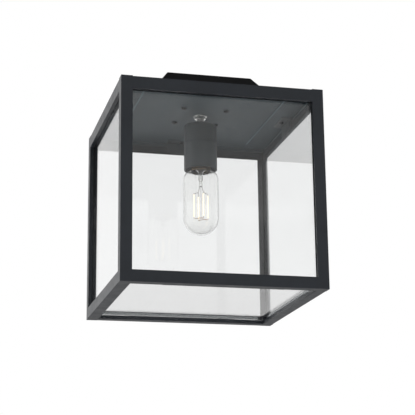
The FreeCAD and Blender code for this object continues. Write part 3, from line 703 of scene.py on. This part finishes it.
def makeNipple(size):
    low, high = boxOf("nipple")
    rows, around = levels(high.z, low.z, size["rowStep"]), size["around"]

    def ribbed(level):
        fade = max(0, min(1, high.z - level, level - low.z))
        depth, pitch = size["depth"], size["pitch"]
        return lambda angle: high.x - depth + depth * fade * threadWave(level, angle, pitch)

    loops = [circle(ribbed(level), level, around) for level in rows]
    loops += [circle(size["bore"], low.z, around), circle(size["bore"], high.z, around)]
    newPiece("threadedTube", skin(loops, True), nickel, "lantern", ["nipple"])


makeNipple(threadedTube)

nuts = {
    "nipple_nut_upper": {"bore": 5.05, "name": "tubeNutUpper", "slot": "plated_steel"},
    "nipple_nut_lower": {"bore": 5.05, "name": "tubeNutLower", "slot": "plated_steel"},
    "earth_nut": {"bore": 2.05, "name": "earthNut", "slot": "zinc_steel"},
}


nutForm = {"corner": 0.97, "cone": 1.9, "rows": 12, "around": 96, "chamfer": 0.4}


def makeNut(node, size, form):  # six flats, with both ends turned down to a cone
    low, high = boxOf(node)
    middle = (low + high) / 2
    flat = (high.y - low.y) / 2
    side = math.pi / 3

    def hexed(level):
        room = min(high.z - level, level - low.z)
        turned = flat * form["corner"] + room * form["cone"]
        return lambda angle: min(turned, flat / math.cos(angle % side - side / 2))

    rows = levels(high.z, low.z, (high.z - low.z) / form["rows"])
    loops = [circle(hexed(level), level, form["around"], middle[:2]) for level in rows]
    bore, chamfer = size["bore"], form["chamfer"]
    loops += [circle(reach, level, form["around"], middle[:2]) for reach, level in (
        (bore + chamfer, low.z), (bore, low.z + chamfer), (bore, high.z - chamfer), (bore + chamfer, high.z))]
    newPiece(size["name"], skin(loops, True), nickel, "lantern", [node])


for node, size in nuts.items():
    makeNut(node, size, nutForm)

washers = {"nipple_washer_upper": "tubeWasherUpper", "nipple_washer_lower": "tubeWasherLower"}
washerForm = {"rolled": 0.4, "rolledSteps": 4, "bore": 5.3, "burr": 0.15, "around": 72}


def makeWasher(node, name, form):  # punched: one face has a rolled edge and the other a slight burr
    low, high = boxOf(node)
    edge, bore = (high.z - low.z) * form["rolled"], form["bore"]
    profile = arc((high.x - edge, low.z + edge), edge, -90, 0, form["rolledSteps"])
    profile += [(high.x, high.z), (bore, high.z), (bore, low.z + form["burr"]), (bore + form["burr"], low.z)]
    newPiece(name, lathe(profile, form["around"]), nickel, "lantern", [node])


for node, name in washers.items():
    makeWasher(node, name, washerForm)
print("stage: lampholder made")


# screws
screwForm = {"around": 72, "dome": 0.45, "slope": 0.35, "rings": 22, "leastReach": 0.01, "rowsPerTurn": 4}


def screwShape(size, centre, headLow, headTop, tip, way=1):  # way -1 turns the screw over
    x, y = centre
    radius, height, around = size["head"], headTop - headLow, screwForm["around"]

    def face(reach):  # one ring of the head's domed face, sunk where the driver goes
        loop = []
        for step in range(around):
            angle = 2 * math.pi * step / around
            px, py = reach * math.cos(angle), reach * math.sin(angle)
            dome = height * screwForm["dome"] * (reach / radius) ** 3
            arms = [abs(px) < size["slotWide"] and abs(py) < size["slotLong"]]
            if size["cross"]:
                arms.append(abs(py) < size["slotWide"] and abs(px) < size["slotLong"])
            sink = size["slotDeep"] * (1 - screwForm["slope"] * reach / size["slotLong"]) if any(arms) else 0
            loop.append((x + px, y + py, headLow + max(dome, sink)))
        return loop

    def thread(level):
        return lambda angle: size["shank"] - size["thread"] * (1 - threadWave(level, angle, size["pitch"]))

    rings = screwForm["rings"]
    loops = [face(radius * ring / rings + screwForm["leastReach"]) for ring in range(rings + 1)]
    loops.append(circle(radius, headTop, around, centre))
    loops.append(circle(size["shank"], headTop, around, centre))
    for level in levels(headTop, tip, size["pitch"] / screwForm["rowsPerTurn"]):
        loops.append(circle(thread(level), level, around, centre))
    points, faces = lidded(loops)
    if way < 0:
        points = [(px, py, headLow + headTop - pz) for px, py, pz in points]
    return points, faces


roofScrew = {
    "head": 3.6, "headHigh": 2.4, "shank": 2.0, "thread": 0.2, "pitch": 0.7,
    "slotWide": 0.5, "slotLong": 1.9, "slotDeep": 1.3, "cross": True,
}
clipScrew = {
    "head": 2.8, "headHigh": 1.6, "shank": 1.5, "thread": 0.15, "pitch": 0.5,
    "slotWide": 0.4, "slotLong": 1.5, "slotDeep": 0.9, "cross": True,
}


def makeRoofScrews(size):
    low, high = boxOf("roof_screws")
    across, deep = high.x - size["head"], high.y - size["head"]
    shapes = [screwShape(size, (sx * across, sy * deep), low.z, low.z + size["headHigh"], high.z)
              for sx in (-1, 1) for sy in (-1, 1)]
    newPiece("roofScrewHeads", joined(*shapes), screwPaint, "lantern", ["roof_screws"])


def makeClipScrews(size):
    low, high = boxOf("clip_screws")
    across, deep = high.x - size["head"], high.y - size["head"]
    spots = [(across, 0), (-across, 0), (0, deep), (0, -deep)]
    shapes = [screwShape(size, spot, low.z, low.z + size["headHigh"], high.z) for spot in spots]
    newPiece("clipScrewHeads", joined(*shapes), screwPaint, "lantern", ["clip_screws"])


makeRoofScrews(roofScrew)
makeClipScrews(clipScrew)
print("stage: screws made")

# glazing
glazing = {
    "tapeThick": 0.22, "tapeHidden": 3.0, "tapeShown": 0.9, "tapeGap": 0.03,
    "edgeStrip": 0.2, "edgeInset": 0.4, "edgeGap": 0.01, "bevel": 0.05,
    "bandThick": 0.2, "bandLow": -278.5, "bandHigh": -270.6, "bandReach": 6, "bandGap": 0.05,
}
tapeRubber = plainFinish("glazingRubber", {
    "colour": (0.006, 0.006, 0.007), "shade": 1.5, "roughness": 0.7, "mottle": 500, "relief": 0.3,
})

# painted reflection: a pale strip inside the foot of each side pane lightens the bottom bars' inner faces
reflectionBand = plainFinish("paintedReflectionBand", {
    "colour": (0.84, 0.87, 0.88), "shade": 0.85, "roughness": 0.6, "mottle": 250, "relief": 0.3,
})


def frameRing(low, high, wide, thick):  # a flat rectangular ring in the XZ plane, at y from 0 to thick
    def loop(inset, depth):
        return [(low[0] + inset, depth, low[1] + inset), (high[0] - inset, depth, low[1] + inset),
                (high[0] - inset, depth, high[1] - inset), (low[0] + inset, depth, high[1] - inset)]
    return skin([loop(0, 0), loop(wide, 0), loop(wide, thick), loop(0, thick)], True)


def spun(shape, quarter):  # turned about the lantern's axis by quarter turns
    spin = Matrix.Rotation(math.pi / 2 * quarter, 3, "Z")
    return [tuple(spin @ Vector(point)) for point in shape[0]], shape[1]


def makeGlazing(size):
    side = boxOf("corner_post_front_left")[1].x
    topLow, bottomHigh = boxOf("top_rail_front")[0].z, boxOf("bottom_rail_front")[1].z
    paneLow, paneHigh = boxOf("glass_front")
    shown, hidden = size["tapeShown"], size["tapeHidden"]
    ring = frameRing(
        (side - hidden, bottomHigh - hidden), (-side + hidden, topLow + hidden),
        shown + hidden, size["tapeThick"])
    ring = moved(ring, (0, paneLow.y - size["tapeThick"] - size["tapeGap"], 0))
    inset, stripLow = size["edgeInset"], paneHigh.z + size["edgeGap"]
    strip = block(
        (paneLow.x + inset, paneLow.y + inset, stripLow),
        (paneHigh.x - inset, paneHigh.y - inset, stripLow + size["edgeStrip"]), size["bevel"])
    # the pale strips at the panes' feet are a painted reflection
    bandFace, reach = paneHigh.y + size["bandGap"], size["bandReach"]
    band = block(
        (-side - reach, bandFace, size["bandLow"]),
        (side + reach, bandFace + size["bandThick"], size["bandHigh"]), size["bevel"])
    for name, shape, paint, slotName in (
            ("glazingTapes", ring, tapeRubber, "black_screws"),
            ("paneFootReflectionBands", band, reflectionBand, "pane_glass"),
            ("paneTopEdges", strip, groundEdge, "pane_glass")):
        newPiece(name, joined(*[spun(shape, quarter) for quarter in range(4)]), paint, "lantern")


makeGlazing(glazing)
print("stage: glazing made")

# terminal block
terminalBlock = {
    "ways": 3, "pitch": 10, "tower": 8.6, "towerFoot": 1, "base": 5, "bevel": 0.7,
    "mouth": 2.2, "tube": 1.8, "lip": 0.05, "around": 24, "screwFoot": 0.2,
}
terminalScrew = {
    "head": 2.0, "shank": 1.2, "thread": 0.1, "pitch": 0.5,
    "slotWide": 0.3, "slotLong": 2.2, "slotDeep": 0.6, "cross": False,
}


def makeTerminalBlock(size, screw):
    low, high = boxOf("terminal_block")
    screwLow, screwHigh = boxOf("terminal_screws")
    centre, level, reach = (low.x + high.x) / 2, (low.z + high.z) / 2, size["tower"] / 2
    turns = [math.tau * step / size["around"] for step in range(size["around"])]
    left, right = low.x - size["lip"], high.x + size["lip"]
    rims = [(left, size["mouth"]), (left, size["tube"]), (right, size["tube"]), (right, size["mouth"])]
    bodies = [block(tuple(low), (high.x, high.y, low.z + size["base"]), size["bevel"])]
    tubes, screws = [], []
    for way in range(size["ways"]):
        y = (way - (size["ways"] - 1) / 2) * size["pitch"]
        bodies.append(block(
            (low.x, y - reach, low.z + size["towerFoot"]), (high.x, y + reach, high.z), size["bevel"]))
        tubes.append(skin([
            [(x, y + radius * math.cos(turn), level + radius * math.sin(turn)) for turn in turns]
            for x, radius in rims], True))
        screws.append(screwShape(
            screw, (centre, y), screwLow.z, screwHigh.z, screwHigh.z + size["screwFoot"], -1))
    newPiece("terminalHousing", joined(*bodies), blockNylon, "lantern", ["terminal_block"])
    newPiece("terminalTubes", joined(*tubes), brass, "lantern")
    newPiece("terminalScrewHeads", joined(*screws), brass, "lantern", ["terminal_screws"])


makeTerminalBlock(terminalBlock, terminalScrew)
print("stage: terminal block made")


# camera, light and floor
photoView = {  # from the frame's own edges; degrees and metres
    "place": (-0.3798, -1.5752, -0.5988), "azimuth": 13.86, "elevation": 15.21, "roll": -0.63, "lens": 115.12,
    "sensor": 36.0, "near": 0.05, "far": 60,
}


def placeCamera(view):
    camera = bpy.data.objects.new("photoCamera", bpy.data.cameras.new("photoCamera"))
    bpy.context.collection.objects.link(camera)
    camera.data.lens, camera.data.sensor_width = view["lens"], view["sensor"]
    camera.data.clip_start, camera.data.clip_end = view["near"], view["far"]
    around, up = math.radians(view["azimuth"]), math.radians(view["elevation"])
    ahead = Vector((math.sin(around) * math.cos(up), math.cos(around) * math.cos(up), math.sin(up)))
    aim = ahead.to_track_quat("-Z", "Y").to_matrix() @ Matrix.Rotation(math.radians(view["roll"]), 3, "Z")
    camera.location, camera.rotation_euler = view["place"], aim.to_euler()
    bpy.context.scene.camera = camera


placeCamera(photoView)

lampAim = (0, 0, -0.15)  # near the lantern's middle
softboxes = {  # place, width and power of each lamp
    "leftBox": {"place": (-1.9, 0.5, -0.3), "width": 1.3, "power": 14, "gloss": True},
    "frontBox": {"place": (0.5, -2.2, 0.3), "width": 1.4, "power": 12, "gloss": False},
    "lowBox": {"place": (0.3, -0.6, -1.15), "width": 1.2, "power": 3, "gloss": False},
}


def hangSoftbox(name, box):
    lamp = bpy.data.lights.new(name, "AREA")
    lamp.shape, lamp.size, lamp.energy = "SQUARE", box["width"], box["power"]
    holder = bpy.data.objects.new(name, lamp)
    bpy.context.collection.objects.link(holder)
    holder.location = box["place"]
    holder.rotation_euler = (Vector(lampAim) - Vector(box["place"])).to_track_quat("-Z", "Y").to_euler()
    holder.visible_camera = holder.visible_transmission = False
    holder.visible_glossy = box["gloss"]


for name, box in softboxes.items():
    hangSoftbox(name, box)

studio = {  # what a reflection meets: bright behind, dimmer in front and below, nearly dark above
    "ambient": 0.42, "behind": 0.95, "below": 0.45, "ceiling": 0.05,
    "ceilingRise": (0.45, 0.85), "belowRise": (-0.15, -0.02), "turn": (-0.15, 0.15),
    "front": [  # by height of the ray
        (0.0, 0.30), (0.625, 0.30), (0.628, 0.75), (0.655, 0.34), (0.68, 0.55), (0.85, 0.05)],
    "floorLevel": -1.25, "floorReach": 2.4,
    "floorColour": (0.80, 0.80, 0.80), "floorShade": 0.98, "floorGrain": 3,
}


def buildWorld(size):
    world = bpy.data.worlds.new("studioAir")
    bpy.context.scene.world = world
    air = Tree(world)
    background = air.tree.nodes["Background"]
    background.inputs["Color"].default_value = (1, 1, 1, 1)
    way = air.add("ShaderNodeTexCoord", out="Generated")
    height = air.add("ShaderNodeSeparateXYZ", {}, {0: way}, out=2)
    depth = air.add("ShaderNodeSeparateXYZ", {}, {0: way}, out=1)
    front = air.add(
        "ShaderNodeValToRGB", {"stops": [(spot, (level,) * 3) for spot, level in size["front"]]},
        {0: height * 0.5 + 0.5})
    behind = air.spread(height, size["behind"], size["ceiling"], *size["ceilingRise"], True)
    behind = behind * air.spread(height, size["below"], 1, *size["belowRise"])
    mirrored = front + air.spread(depth, 0, 1, *size["turn"], True) * (behind - front)
    glossy = air.add("ShaderNodeLightPath", out="Is Glossy Ray")
    direct = air.add("ShaderNodeLightPath", out="Is Camera Ray")
    seen = direct | air.add("ShaderNodeLightPath", out="Is Transmission Ray")
    indirect = size["ambient"] + glossy * (mirrored - size["ambient"])
    air.join(background.inputs["Strength"], indirect + seen * (1 - indirect))


def layFloor(size):
    reach, level = size["floorReach"], size["floorLevel"]
    mesh = bpy.data.meshes.new("studioFloor")
    corners = [(-reach, -reach), (reach, -reach), (reach, reach), (-reach, reach)]
    mesh.from_pydata([(*corner, level) for corner in corners], [], [(0, 1, 2, 3)])
    floor = bpy.data.objects.new("studioFloor", mesh)
    bpy.context.collection.objects.link(floor)
    paint = Paint("floorPaper", Roughness=0.9)
    pale = size["floorColour"]
    paint.feed(Base_Color=paint.blend(
        paint.noise(size["floorGrain"], 3), pale, shadeOf(pale, size["floorShade"])))
    mesh.materials.append(paint.material)


buildWorld(studio)
layFloor(studio)
bpy.context.scene.view_settings.view_transform = "Standard"
print("stage: camera, light and floor set")
